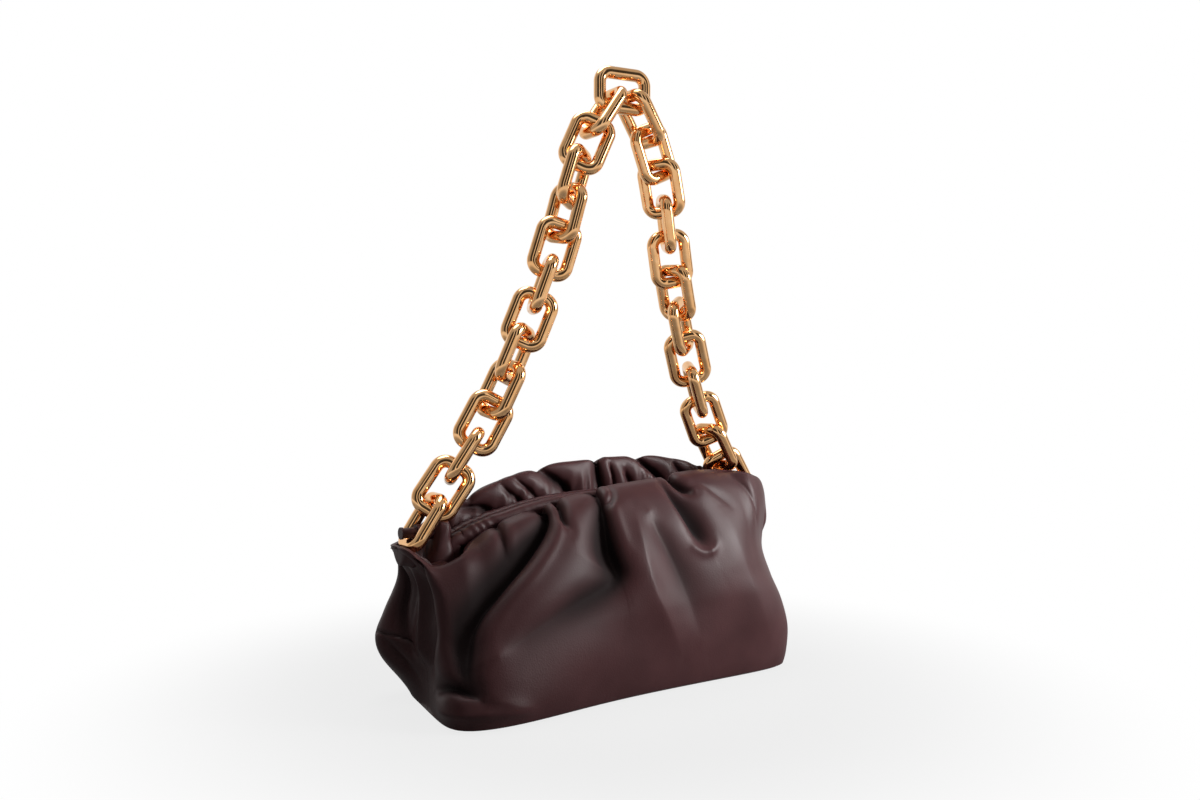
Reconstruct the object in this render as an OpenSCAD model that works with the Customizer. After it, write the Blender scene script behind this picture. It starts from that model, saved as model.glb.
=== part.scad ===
// Gathered leather chain bag: a soft pouch closed by two arched half frames, carried by one
// loop of heavy rectangular links. X runs along the bag, the front faces -Y and Z is up.
// The origin is the middle of the flat base.

/* [Chain] */
// Outside length of a link
link_l = 45; // [38:0.5:56]
// Outside width of a link
link_w = 34; // [30:0.5:40]
// Diameter of the wire that the links are made of
wire_d = 9; // [7:0.1:9.4]
// Bend radius of a link's corners, on the wire's centre line
link_r = 7.5; // [6:0.1:10]
// Play between two bars that bear on each other
link_play = 0.3; // [0.2:0.05:0.6]
// Half the distance between the two bars that hang in the top link
top_spread = 6.5; // [6:0.1:8]
// Lean of each link towards the middle of the bag, from the bag up
lean_angles = [33, 35, 33, 28, 24, 21, 20, 18, 15, 13, 16, 24, 34];
// Turn of each left link about its own length, from the bag up
left_roll_angles = [88, -28, 62, -20, 104, 35, -25, 66, -20, 104, 35, -28, 88];
// Turn of each right link about its own length, from the bag up
right_roll_angles = [90, -25, 99, -22, 62, -25, 35, 104, -20, 62, -55, 2, 97];
// Turn of the top link about the vertical
top_roll_angle = -9; // [-12:1:0]
// Angle by which the chain leans towards the front, at its two ends
front_lean_angle = 2.5; // [0:0.1:4]
// Angle by which the chain leans towards the front, halfway up
mid_lean_angle = 8.5; // [0:0.1:10]

/* [Leather body] */
// Length of the flat base
base_w = 292; // [270:1:320]
// Depth of the flat base
base_d = 115; // [105:1:130]
// Height of the front fold at the middle of the bag
front_h = 147; // [143:1:155]
// Height of the back fold at the middle of the bag
back_h = 165; // [158:1:174]
// Height of the lips that hold the end links
lip_h = 112; // [110:0.5:114]
// Thickness of the leather
leather_t = 1.8; // [1.4:0.1:2.4]
// How far the end gussets fold inwards
gusset_fold = 15; // [12:0.5:18]
// Depth of the gathers below the frame
gather_depth = 3; // [1:0.25:4]
// Number of gathers along one panel
gathers = 10; // [6:1:12]
// Half the distance between the tops of the front and back folds
fold_half = 17; // [15:0.5:20]
// Half the distance between the lips beside the end links
lip_half = 29; // [27:0.5:32]
// How far the lips roll inwards
lip_roll = 2.6; // [2:0.1:2.8]
// Half the width of the mouth between the two panels
mouth_half = 10.8; // [10.6:0.1:12]

/* [Lining and base] */
// Thickness of the lining
lining_t = 1; // [0.8:0.1:1.4]
// Thickness of the base board
board_t = 2.4; // [1.5:0.1:4]
// Space between two sewn layers
layer_gap = 0.2; // [0.1:0.05:0.4]
// Corner radius of the base board
board_r = 14; // [8:1:24]

/* [Frame] */
// Height of the frame at the middle of the mouth
frame_h = 136; // [131:1:140]
// How far the frame's pivots lie in from the ends of the base
pivot_inset = 16; // [14:0.5:21]
// Height of the pivots
pivot_h = 101; // [97:1:103]
// Width of the frame strip
strip_w = 8; // [6:0.5:10]
// Thickness of the frame strip
strip_t = 2.4; // [1.6:0.1:3]
// Diameter of the pivot pins
pivot_d = 4; // [3:0.5:5]
// Thickness of the leather-covered roll on each half frame
roll_t = 10; // [9:0.1:10.4]
// Height of that roll
roll_h = 14; // [12:0.5:15]
// Diameter of the magnets
magnet_d = 7; // [5:0.5:7.5]

/* [Chain posts] */
// How far the end links ride beyond the ends of the base
post_reach = 6.5; // [5:0.5:8]
// Height of the posts
post_h = 121.3; // [119:0.1:123]
// Diameter of a post where its link rides
post_d = 7; // [5:0.5:8]
// Diameter of the collar that keeps the link out
collar_d = 10.5; // [9:0.5:12]
// Thickness of the end stays
stay_t = 2.4; // [1.6:0.2:3]
// Width of the end stays
stay_w = 16; // [12:1:20]

/* [Hidden] */
// Smoothness of round parts
$fn = 48;
// Bearing and running clearances
pin_play = 0.1;
ear_play = 0.3;
roll_play = 0.35;
// Chain geometry along the wire's centre line
bar_l = link_l - wire_d;
bar_w = link_w - wire_d;
bar_step = wire_d + link_play;
side_links = len(lean_angles);
post_x = base_w / 2 + post_reach;
// Half frames; the drop share is how much of the rise above the pivots is lost at the ends
half_span = base_w / 2 - pivot_inset;
frame_drop_share = 0.63;
frame_drop = frame_drop_share * (frame_h - pivot_h);
arch_half = half_span - 4 * strip_t;
arch_r = (arch_half * arch_half + frame_drop * frame_drop) / (2 * frame_drop);
arch_end = asin(arch_half / arch_r);
roll_end = arch_end * 0.86;
ear_t = strip_t;
ear_d = 1.9 * pivot_d;
eye_step = (ear_t + ear_play) / 2;
leg_x = arch_half + eye_step;
strip_y = roll_play + roll_t / 2;
// Leather grid: columns run from the left end round to the right end, rows from the base up
columns = 48;
half_w = base_w / 2;
half_d = base_d / 2;
gold = [0.86, 0.66, 0.38];
leather = [0.16, 0.09, 0.09];
suede = [0.20, 0.13, 0.12];
board_grey = [0.13, 0.12, 0.12];
steel = [0.62, 0.60, 0.58];

// Share of the half width, half depth and fold height at each row of a panel
width_shares = [0.95, 0.96, 0.975, 0.99, 1.00, 1.02, 1.035, 1.04, 1.04, 1.04, 1.045, 1.06, 1.08, 1.10, 1.11];
depth_shares = [0, 0.42, 0.86, 0.96, 1.00, 1.05, 1.09, 1.10, 1.06, 0.98, 0.86, 0.72, 0.58, 0.43, 0.30];
height_shares = [0, 0, 0, 0.006, 0.03, 0.13, 0.26, 0.40, 0.53, 0.65, 0.76, 0.855, 0.93, 0.98, 1];
// Share of the gusset fold and of the gathers at each row
fold_shares = [0, 0, 0, 0.1, 0.3, 0.65, 0.95, 1, 1, 1, 0.92, 0.55, 0.18, 0, 0];
gather_shares = [0, 0, 0, 0, 0, 0.1, 0.2, 0.35, 0.5, 0.7, 0.85, 0.95, 1, 1, 0.9];
// Power of the blunt oval at each row
blunt_powers = [7, 7, 7, 7, 6.5, 5.5, 5, 4.5, 4, 4, 4, 4, 4, 4, 4];
wall_rows = len(width_shares);
rim_rows = 3;
// Columns left free on each side of the pocket
pocket_columns = 18;
all_rows = wall_rows + rim_rows;
// Height of the folds along the bag: share of the half width, share between lip and fold
front_fold_shares = [[-1.1, 0], [-0.99, -0.29], [-0.86, -0.11], [-0.66, 0.34], [-0.42, 0.69],
    [-0.31, 0.80], [0, 1], [0.29, 1.14], [0.63, 1.23], [0.93, 1.09], [1.02, 0.83], [1.1, 0]];
back_fold_shares = [[-1.1, 0], [-1.02, 0.04], [-0.80, 0.40], [-0.61, 0.67], [-0.25, 0.93],
    [0, 1], [0.22, 1.02], [0.49, 1], [0.80, 0.81], [1.02, 0.49], [1.1, 0]];

function ease(t) = t * t * (3 - 2 * t);
function unit(v) = v / norm(v);
// 0 along the mouth, 1 round the end links
function end_share(x) = ease(min(max((abs(x) / half_w - 0.76) / 0.12, 0), 1));
function fold_height(side, x) = side < 0
    ? lip_h + (front_h - lip_h) * lookup(x / half_w, front_fold_shares)
    : lip_h + (back_h - lip_h) * lookup(x / half_w, back_fold_shares);
function arch_height(x) = frame_h - arch_r + sqrt(max(arch_r * arch_r - x * x, arch_r));
// Where the filled bag bulges or is drawn in: centre, reach and push, as shares of half the
// width, half the depth and the front height
swell_shares = [
    [[-0.82, -0.96, 0.03], [0.55, 0.70, 0.31], [-0.03, -0.19, 0]],
    [[-1.03, 0.78, 0.29], [0.31, 0.70, 0.23], [-0.095, 0.05, 0]],
    [[-1.03, 0.87, 0], [0.34, 0.78, 0.17], [0.08, -0.08, 0]],
    [[1.03, -0.87, 0.12], [0.31, 0.87, 0.27], [0.06, -0.035, 0]],
    [[1.03, 0.78, 0.12], [0.31, 0.70, 0.27], [0.05, 0.035, 0]],
    [[1.03, -0.87, 0.68], [0.24, 0.42, 0.22], [-0.07, 0.06, 0]],
    [[0, 1.1, 0.42], [0.95, 0.5, 0.4], [0, 0.08, 0]]];
swell_size = [half_w, half_d, front_h];
function swell(p, s) =
    let (r = [for (i = [0:2]) (p[i] / swell_size[i] - s[0][i]) / s[1][i]])
    exp(-r * r) * [for (i = [0:2]) s[2][i] * swell_size[i]];
function all_swells(p, k) = k < 0 ? 0 * p : swell(p, swell_shares[k]) + all_swells(p, k - 1);
function swollen(p) = p + all_swells(p, len(swell_shares) - 1);
// Angle of a column in plan, closer together round the ends, and the blunt oval it lies on:
// the larger the power, the squarer its corners
function turn(a) = 180 * a + 10 * sin(360 * a);
function blunt(q, n) = [cos(q), sin(q)] / pow(pow(abs(cos(q)), n) + pow(abs(sin(q)), n), 1 / n);

// Outer face of a panel at column a and row b; side is -1 at the front and 1 at the back
function wall_point(side, a, b) =
    let (
        q = blunt(turn(a), blunt_powers[b]),
        // Under the base the columns spread out evenly towards the seam
        p = [q[0] + (1 - 2 * a - q[0]) * max(1 - b / 2, 0), q[1]],
        tuck = gusset_fold * fold_shares[b] * exp(-pow(p[1] / 0.42, 2)),
        x = -p[0] * (half_w * width_shares[b] - tuck),
        crest_x = -p[0] * half_w * width_shares[wall_rows - 1],
        wave = gather_depth * gather_shares[b] * (1 - end_share(x))
            * (cos(360 * gathers * x / base_w + 90 * side) - 0.4),
        top = fold_half + (lip_half - fold_half) * end_share(x) - half_d * depth_shares[wall_rows - 1],
        y = p[1] * (half_d * depth_shares[b] + top * pow(b / (wall_rows - 1), 5) + wave)
    )
    swollen([x, side * y, height_shares[b] * (fold_height(side, crest_x) + wave / 2)]);
// The last rows roll the leather over the fold and down beside the mouth
function rim_point(side, a, b) =
    let (
        crest = wall_point(side, a, wall_rows - 1),
        p = blunt(turn(a), blunt_powers[wall_rows - 1]),
        e = end_share(crest[0]),
        t = b / rim_rows,
        inward = 1 - (1 - t) * (1 - t),
        y = p[1] * mouth_half * (1 - e) + (abs(crest[1]) - p[1] * lip_roll) * e,
        z = (arch_height(min(abs(crest[0]), arch_half)) - roll_h / 2) * (1 - e) + crest[2] * e
    )
    [crest[0] + p[0] * lip_roll * inward * e,
        side * (abs(crest[1]) + (y - abs(crest[1])) * inward),
        crest[2] + (min(z, crest[2]) - crest[2]) * t * t];
function shell_point(side, a, b) =
    b < wall_rows ? wall_point(side, a, b) : rim_point(side, a, b - wall_rows + 1);

// A layer of a panel between two depths below its outer face, over some columns and rows
module layer(side, near, far, skip = 0, first_b = 0, last_b = all_rows - 1) {
    cells = columns - 2 * skip;
    rows = last_b - first_b + 1;
    w = cells + 1;
    m = rows * w;
    grid = [for (b = [first_b:last_b]) [for (i = [0:cells])
        shell_point(side, (i + skip) / columns, b)]];
    facing = [for (b = [0:rows - 1]) [for (i = [0:cells]) let (
        along = grid[b][min(i + 1, cells)] - grid[b][max(i - 1, 0)],
        up = grid[min(b + 1, rows - 1)][i] - grid[max(b - 1, 0)][i],
        n = unit(cross(along, up) * -side - [0, 0, leather_t / 1000]),
        seam = skip > 0 ? 0 : i == 0 ? -1 : i == cells ? 1 : 0
    ) seam == 0 ? n : unit([seam * up[2], 0, -seam * up[0]])]];
    points = [for (depth = [near, far]) for (b = [0:rows - 1]) for (i = [0:cells])
        grid[b][i] - depth * facing[b][i]];
    quads = concat(
        [for (b = [0:rows - 2]) for (i = [0:cells - 1]) let (q = b * w + i)
            i < cells / 2 ? [q, q + 1, q + w + 1, q + w] : [q + 1, q + w + 1, q + w, q]],
        [for (b = [0:rows - 2]) for (i = [0:cells - 1]) let (q = m + b * w + i)
            i < cells / 2 ? [q + w + 1, q + 1, q, q + w] : [q + 1, q, q + w, q + w + 1]],
        [for (i = [0:cells - 1]) [i, m + i, m + i + 1, i + 1]],
        [for (i = [0:cells - 1]) let (q = m - w + i) [q, q + 1, q + m + 1, q + m]],
        [for (b = [0:rows - 2]) let (q = b * w) [q, q + w, q + w + m, q + m]],
        [for (b = [0:rows - 2]) let (q = b * w + cells) [q, q + m, q + w + m, q + w]]
    );
    faces = [for (q = quads) for (t = [[q[0], q[1], q[2]], [q[0], q[2], q[3]]])
        side < 0 ? [t[2], t[1], t[0]] : t];
    polyhedron(points, faces, convexity = 10);
}

module front_panel() {
    color(leather) layer(-1, 0, leather_t);
}
module back_panel() {
    color(leather) layer(1, 0, leather_t);
}
module side_lining(side) {
    near = leather_t + layer_gap;
    color(suede) layer(side, near, near + lining_t, 3, 5, wall_rows - 3);
}
module front_lining() {
    side_lining(-1);
}
module back_lining() {
    side_lining(1);
}
module pocket() {
    near = leather_t + lining_t + 2 * layer_gap;
    color(suede) layer(1, near, near + lining_t, pocket_columns, 6, 10);
}
module base_board() {
    w = base_w * 0.83;
    d = base_d * 0.77;
    color(board_grey) translate([0, 0, leather_t + layer_gap]) linear_extrude(board_t)
        union() {
            square([w - 2 * board_r, d], center = true);
            square([w, d - 2 * board_r], center = true);
            for (x = [-1, 1], y = [-1, 1])
                translate([x * (w / 2 - board_r), y * (d / 2 - board_r)]) circle(board_r);
        }
}

// A band that follows the frame's arch; the profile is drawn outwards from the arch
module along_arch(reach) {
    translate([0, 0, frame_h - arch_r]) rotate([90, 0, 0]) rotate([0, 0, 90 - reach])
        rotate_extrude(angle = 2 * reach, $fn = 180) translate([arch_r, 0]) children();
}
// One half frame: an arched strip with a leg at each end and an eye round each pivot.
// The eyes of the front half lie outside those of the back half.
module half_frame(side) {
    difference() {
        union() {
            translate([0, side * strip_y + strip_t / 2, 0]) rotate([90, 0, 0])
                linear_extrude(strip_t) frame_outline();
            for (end = [-1, 1]) translate([end * (leg_x - side * eye_step) - ear_t / 2, 0, pivot_h])
                rotate([90, 0, 90]) linear_extrude(ear_t) union() {
                    circle(d = ear_d);
                    translate([min(0, side * strip_y), -0.4 * ear_d]) square([strip_y, 0.8 * ear_d]);
                }
        }
        translate([0, 0, pivot_h]) rotate([0, 90, 0])
            cylinder(h = 2 * half_span, d = pivot_d + 2 * pin_play, center = true);
    }
}
module frame_outline() {
    out = leg_x + strip_w / 2;
    low = pivot_h - ear_d / 2;
    intersection() {
        translate([0, frame_h - arch_r]) difference() {
            circle(arch_r + strip_w / 2, $fn = 180);
            circle(arch_r - strip_w / 2, $fn = 180);
        }
        translate([-out, low]) square([2 * out, frame_h]);
    }
    for (end = [-1, 1]) translate([end * leg_x - strip_w / 2, low])
        square([strip_w, arch_height(leg_x) - low]);
}
module front_frame() {
    color(steel) half_frame(-1);
}
module back_frame() {
    color(steel) half_frame(1);
}
// Soft leather roll that covers one half frame, open below for the strip
module roll_cover(side) {
    r = roll_t / 2 - pin_play / 2;
    slot = strip_t + 2 * pin_play;
    difference() {
        along_arch(roll_end) translate([0, -side * strip_y]) difference() {
            union() {
                translate([roll_h / 2 - r, 0]) circle(r);
                translate([r - roll_h / 2, 0]) circle(r);
                square([roll_h - 2 * r, 2 * r], center = true);
            }
            translate([-roll_h / 2, 0])
                square([roll_h + strip_w + 2 * pin_play, slot], center = true);
        }
        translate([0, side * (strip_y - strip_t / 2), frame_h]) rotate([90, 0, 0])
            cylinder(h = 2 * magnet_seat(), d = magnet_d + 2 * pin_play, center = true);
    }
}
function magnet_seat() = roll_t / 2 - strip_t / 2 - lining_t + pin_play;
module magnet(side) {
    t = magnet_seat() - 2 * pin_play;
    translate([0, side * (strip_y - strip_t / 2 - pin_play - t / 2), frame_h]) rotate([90, 0, 0])
        cylinder(h = t, d = magnet_d, center = true);
}
module front_cuff() {
    color(leather) roll_cover(-1);
}
module back_cuff() {
    color(leather) roll_cover(1);
}
module front_magnet() {
    color(steel) magnet(-1);
}
module back_magnet() {
    color(steel) magnet(1);
}

// Stay inside each end of the bag: it carries the frame's pivot and the chain's post
stay_x = leg_x + strip_w / 2 + ear_play;
module end_stay(end) {
    low = 0.42 * pivot_h;
    high = post_h + collar_d / 2;
    color(steel) translate([end * (stay_x + stay_t / 2), 0, 0]) rotate([90, 0, 90])
        translate([0, 0, -stay_t / 2]) linear_extrude(stay_t) difference() {
            union() {
                translate([-stay_w / 2, low]) square([stay_w, high - low - stay_w / 4]);
                translate([0, high - stay_w / 2]) circle(d = stay_w);
            }
            translate([0, pivot_h]) circle(d = pivot_d + 2 * pin_play);
            translate([0, post_h]) circle(d = post_d + 2 * pin_play);
        }
}
module left_end_stay() {
    end_stay(-1);
}
module right_end_stay() {
    end_stay(1);
}
module pivot_pin(end) {
    inner = leg_x - eye_step - ear_t / 2 - ear_play;
    outer = stay_x + stay_t + ear_play / 2;
    head = 0.8 * ear_t;
    color(steel) mirror([end < 0 ? 1 : 0, 0, 0]) translate([0, 0, pivot_h]) rotate([0, 90, 0]) {
        translate([0, 0, inner - head]) cylinder(h = outer - inner + 2 * head, d = pivot_d);
        translate([0, 0, inner - head]) cylinder(h = head, d = 1.8 * pivot_d);
        translate([0, 0, outer]) cylinder(h = head, d = 1.8 * pivot_d);
    }
}
module left_pivot_pin() {
    pivot_pin(-1);
}
module right_pivot_pin() {
    pivot_pin(1);
}
// The end link rides on the slim part of the post, between a collar and a low head
module anchor_post(end) {
    inner = stay_x - ear_t / 2;
    collar = stay_x + stay_t + ear_play / 3;
    ride = post_x - wire_d / 2 - link_play;
    out = post_x + wire_d / 2 + link_play;
    color(gold) mirror([end < 0 ? 1 : 0, 0, 0]) translate([0, 0, post_h]) rotate([0, 90, 0]) {
        translate([0, 0, inner]) cylinder(h = out - inner + link_play, d = post_d);
        translate([0, 0, collar]) cylinder(h = ride - collar, d = collar_d);
        translate([0, 0, out]) cylinder(h = wire_d / 6, d = post_d + wire_d / 7);
        translate([0, 0, inner - ear_t / 2]) cylinder(h = ear_t / 2 + pin_play, d = 1.5 * post_d);
    }
}
module left_anchor_post() {
    anchor_post(-1);
}
module right_anchor_post() {
    anchor_post(1);
}

// One link, upright: its long bars run along Z and its short bars along X
module link() {
    x = bar_w / 2;
    z = bar_l / 2;
    for (s = [-1, 1]) {
        translate([s * x, 0, link_r - z]) cylinder(h = bar_l - 2 * link_r, d = wire_d);
        translate([link_r - x, 0, s * z]) rotate([0, 90, 0])
            cylinder(h = bar_w - 2 * link_r, d = wire_d);
    }
    for (q = [[1, 1, 0], [-1, 1, 90], [-1, -1, 180], [1, -1, 270]])
        translate([q[0] * (x - link_r), 0, q[1] * (z - link_r)]) rotate([90, 0, 0])
            rotate([0, 0, q[2]]) rotate_extrude(angle = 90) translate([link_r, 0]) circle(d = wire_d);
}
// Lean of the chain towards the front at link k
function front_lean(k) = front_lean_angle
    + (mid_lean_angle - front_lean_angle) * sin(180 * k / (side_links - 1));
// Direction of link k of the left side when every lean is multiplied by f
function link_dir(k, f) = let (a = f * lean_angles[k], b = front_lean(k))
    [sin(a), -sin(b) * cos(a), cos(b) * cos(a)];
// Centre of the lower bar of link k: the first hangs on its post, the others on the link below
function low_bar(k, f) = k == 0
    ? [-post_x, 0, post_h - post_d / 2 - wire_d / 2 - link_play]
    : high_bar(k - 1, f) - bar_step * unit(link_dir(k - 1, f) + link_dir(k, f));
function high_bar(k, f) = low_bar(k, f) + bar_l * link_dir(k, f);
// The leans are scaled a little so that both sides meet in the top link
function meet(f, n) = n == 0 ? f
    : meet(f * (post_x - top_spread) / (post_x + high_bar(side_links - 1, f)[0]), n - 1);
lean_scale = meet(1, 6);
top_bar = high_bar(side_links - 1, lean_scale);

// Link k of one side, from the bag up; end is -1 on the left and 1 on the right
module side_link(end, k) {
    p = (low_bar(k, lean_scale) + high_bar(k, lean_scale)) / 2;
    roll = end < 0 ? left_roll_angles[k] : right_roll_angles[k];
    color(gold) translate([-end * p[0], p[1], p[2]]) rotate([front_lean(k), 0, 0])
        rotate([0, -end * lean_scale * lean_angles[k], 0]) rotate([0, 0, roll]) link();
}
module top_link() {
    color(gold) translate([0, top_bar[1], top_bar[2] - bar_step + bar_w / 2])
        rotate([0, 0, top_roll_angle]) rotate([0, 90, 0]) link();
}

front_panel();
back_panel();
front_lining();
back_lining();
base_board();
pocket();
front_frame();
back_frame();
front_cuff();
back_cuff();
front_magnet();
back_magnet();
left_end_stay();
right_end_stay();
left_pivot_pin();
right_pivot_pin();
left_anchor_post();
right_anchor_post();
side_link(-1, 0);  // link_left_01
side_link(-1, 1);  // link_left_02
side_link(-1, 2);  // link_left_03
side_link(-1, 3);  // link_left_04
side_link(-1, 4);  // link_left_05
side_link(-1, 5);  // link_left_06
side_link(-1, 6);  // link_left_07
side_link(-1, 7);  // link_left_08
side_link(-1, 8);  // link_left_09
side_link(-1, 9);  // link_left_10
side_link(-1, 10);  // link_left_11
side_link(-1, 11);  // link_left_12
side_link(-1, 12);  // link_left_13
side_link(1, 0);  // link_right_01
side_link(1, 1);  // link_right_02
side_link(1, 2);  // link_right_03
side_link(1, 3);  // link_right_04
side_link(1, 4);  // link_right_05
side_link(1, 5);  // link_right_06
side_link(1, 6);  // link_right_07
side_link(1, 7);  // link_right_08
side_link(1, 8);  // link_right_09
side_link(1, 9);  // link_right_10
side_link(1, 10);  // link_right_11
side_link(1, 11);  // link_right_12
side_link(1, 12);  // link_right_13
top_link();
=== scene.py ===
"""Gathered leather chain bag: two soft leather panels closed by gathered rolls, and a heavy
chain of rectangular gold links. Sizes are in millimetres until a mesh is made."""

import math

import bmesh
import bpy
import numpy as np
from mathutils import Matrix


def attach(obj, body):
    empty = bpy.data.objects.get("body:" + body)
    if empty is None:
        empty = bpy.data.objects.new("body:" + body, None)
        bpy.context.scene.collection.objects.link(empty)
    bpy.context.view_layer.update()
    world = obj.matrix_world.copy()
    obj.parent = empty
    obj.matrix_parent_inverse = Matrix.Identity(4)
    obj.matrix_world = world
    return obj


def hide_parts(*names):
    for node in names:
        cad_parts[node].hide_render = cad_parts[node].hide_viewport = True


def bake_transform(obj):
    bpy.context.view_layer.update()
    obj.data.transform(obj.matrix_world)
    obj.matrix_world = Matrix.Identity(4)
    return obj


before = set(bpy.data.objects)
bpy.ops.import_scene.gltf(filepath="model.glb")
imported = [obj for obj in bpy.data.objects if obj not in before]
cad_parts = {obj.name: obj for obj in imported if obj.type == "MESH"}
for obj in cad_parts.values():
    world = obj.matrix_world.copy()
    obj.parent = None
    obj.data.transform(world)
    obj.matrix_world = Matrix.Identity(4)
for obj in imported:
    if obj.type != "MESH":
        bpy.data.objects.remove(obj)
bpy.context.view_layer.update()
MM = 0.001

# The bag's measures in mm
# half the width and half the depth that the shares below multiply
HALF_W, HALF_D = 146.0, 57.5
# heights of the lip at the ends, and of the front and the back fold over the middle
LIP_H, FRONT_H, BACK_H = 112.0, 147.0, 165.0
# thickness of the leather and of its lining, and how deep the end gussets tuck in
LEATHER, LINING, GUSSET = 1.8, 1.0, 15.0
# the lip beyond each end link: its extra height, and its share of the way round the panel
EAR_H, EAR_SPAN = 1.0, 0.06
# half the bag's depth at the top of the fold and at the lip, the lip's roll, half the mouth's depth
FOLD_HALF, LIP_HALF, LIP_ROLL, MOUTH_HALF = 17.0, 29.0, 2.6, 10.8
# the frame's arch: top, drop to its ends, half length and radius, with the hinge under its ends
FRAME_H, FRAME_DROP, ARCH_HALF, HINGE_H = 136.0, 22.05, 120.4, 101.0
ARCH_R = (ARCH_HALF ** 2 + FRAME_DROP ** 2) / (2 * FRAME_DROP)
# the rolls on the frame: height and thickness along the arch, and what each loses down the legs
ROLL_H, ROLL_THICK, LEG_SLIMMER, LEG_THINNER = 14.0, 9.9, 3.2, 0.8
# their bend into the legs, their distance from the middle of the bag, and where the legs stand
ROLL_BEND, ROLL_Y, LEG_X = 6.0, 5.45, 122.4
# a panel's grid: columns, rows up the wall and over the rim, and the step of its inner face
COLS, WALL_ROWS, RIM_ROWS, INNER_STEP = 421, 165, 40, 3
# mm of the wall for each percent of the way up it, and depth of the roll beside the end seam
RISE, SEAM_ROLL = 1.45, 7.0
# Shares of width, depth, height and gusset at even steps from the base seam to the top of the
# fold, and BLUNT, the power of the oval in plan
WIDTH = [0.95, 0.96, 0.975, 0.99, 1.00, 1.02, 1.035, 1.04, 1.04, 1.04, 1.045, 1.06, 1.08, 1.10, 1.11]
DEPTH = [0, 0.42, 0.86, 0.96, 1.00, 1.05, 1.09, 1.10, 1.06, 0.98, 0.86, 0.72, 0.58, 0.43, 0.30]
HEIGHT = [0, 0, 0, 0.006, 0.03, 0.13, 0.26, 0.40, 0.53, 0.65, 0.76, 0.855, 0.93, 0.98, 1]
BLUNT = [7, 7, 7, 7, 6.5, 5.5, 5, 4.5, 4, 4, 4, 4, 4, 4, 4]
TUCK = [0, 0, 0, 0.1, 0.3, 0.65, 0.95, 1, 1, 1, 0.92, 0.55, 0.18, 0, 0]
# Line of the folds along the bag: x as a share of half its width, and share of the rise from the lip
FRONT_CREST = [(-1.1, 0), (-0.99, -0.29), (-0.86, -0.11), (-0.66, 0.34), (-0.42, 0.69), (-0.31, 0.80),
               (0, 1), (0.29, 1.14), (0.63, 1.23), (0.93, 1.09), (1.02, 0.83), (1.1, 0)]
BACK_CREST = [(-1.1, 0), (-1.02, 0.04), (-0.80, 0.40), (-0.61, 0.67), (-0.25, 0.93), (0, 1),
              (0.22, 1.02), (0.49, 1), (0.80, 0.81), (1.02, 0.49), (1.1, 0)]


def ease(x, start, end):
    """0 up to start and 1 from end on, with 3 t^2 - 2 t^3 between them; end may be below start."""
    t = np.clip((x - start) / (end - start), 0, 1)
    return t * t * (3 - 2 * t)


def through(x, xs, ys):
    """Cubic Hermite curve through the points (xs, ys); the slope at a point is the mean of its
    neighbours' chords, and zero where they turn back."""
    xs, ys = np.asarray(xs, float), np.asarray(ys, float)
    chord = np.diff(ys) / np.diff(xs)
    slope = np.r_[chord[0], np.where(chord[:-1] * chord[1:] > 0, (chord[:-1] + chord[1:]) / 2, 0), chord[-1]]
    x = np.clip(x, xs[0], xs[-1])
    i = np.clip(np.searchsorted(xs, x, side="right") - 1, 0, len(xs) - 2)
    h = xs[i + 1] - xs[i]
    t = (x - xs[i]) / h
    return ((2 * t**3 - 3 * t**2 + 1) * ys[i] + (t**3 - 2 * t**2 + t) * h * slope[i]
            + (3 * t**2 - 2 * t**3) * ys[i + 1] + (t**3 - t**2) * h * slope[i + 1])


def row(table, t):
    """Value at t of a table whose entries stand at even steps from 0 to 1."""
    return through(t, np.linspace(0, 1, len(table)), table)


def crest_height(side, x):
    """Height of the fold at x: lip height plus the share of the rise to the fold."""
    table = np.array(FRONT_CREST if side < 0 else BACK_CREST)
    rise = (FRONT_H if side < 0 else BACK_H) - LIP_H
    return LIP_H + rise * through(x / HALF_W, table[:, 0], table[:, 1])


def arch_height(x):
    """The frame's circle: its centre's height plus sqrt(R^2 - x^2)."""
    return FRAME_H - ARCH_R + np.sqrt(ARCH_R**2 - np.minimum(np.abs(x), ARCH_HALF) ** 2)


def end_share(x):
    """0 along the mouth and 1 round the end links, eased over 12 % of half the bag's width."""
    return ease(np.abs(x) / HALF_W, 0.76, 0.88)


# Where the filled bag bulges or is drawn in: centre, reach and push along x, y and z
SWELLS = [((-119.7, -55.2, 4.4), (80.3, 40.3, 40), (-4.4, -13.5, 0)),
          ((-150.4, 44.9, 42.6), (45.3, 40.3, 33.8), (-13.9, 2.9, 0)),
          ((-150.4, 50, 0), (49.6, 44.9, 25), (11.7, -4.6, 0)),
          ((150.4, -50, 17.6), (45.3, 50, 39.7), (8.8, -2, 0)),
          ((150.4, 44.9, 17.6), (45.3, 40.3, 39.7), (7.3, 2, 0)),
          ((150.4, -50, 100), (35, 24.2, 32.3), (-10.2, 3.5, 0)),
          ((0, 63.3, 61.7), (138.7, 28.8, 58.8), (0, 4.6, 0))]


def swollen(p):
    """Each swell adds its push times exp(-r^2), r being the distance in reaches from its centre."""
    q = p.copy()
    for centre, reach, push in SWELLS:
        r2 = (((p - np.array(centre)) / np.array(reach)) ** 2).sum(-1, keepdims=True)
        q = q + np.exp(-r2) * np.array(push)
    return q


def plan(a, n):
    """Blunt oval in plan at column a, (cos q, sin q) over the n-th root of |cos q|^n + |sin q|^n;
    the larger n, the squarer its corners. Columns lie closer together round the ends."""
    q = np.radians(180 * a + 10 * np.sin(2 * np.pi * a))
    norm = (np.abs(np.cos(q)) ** n + np.abs(np.sin(q)) ** n) ** (1 / n)
    return np.cos(q) / norm, np.sin(q) / norm


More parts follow.
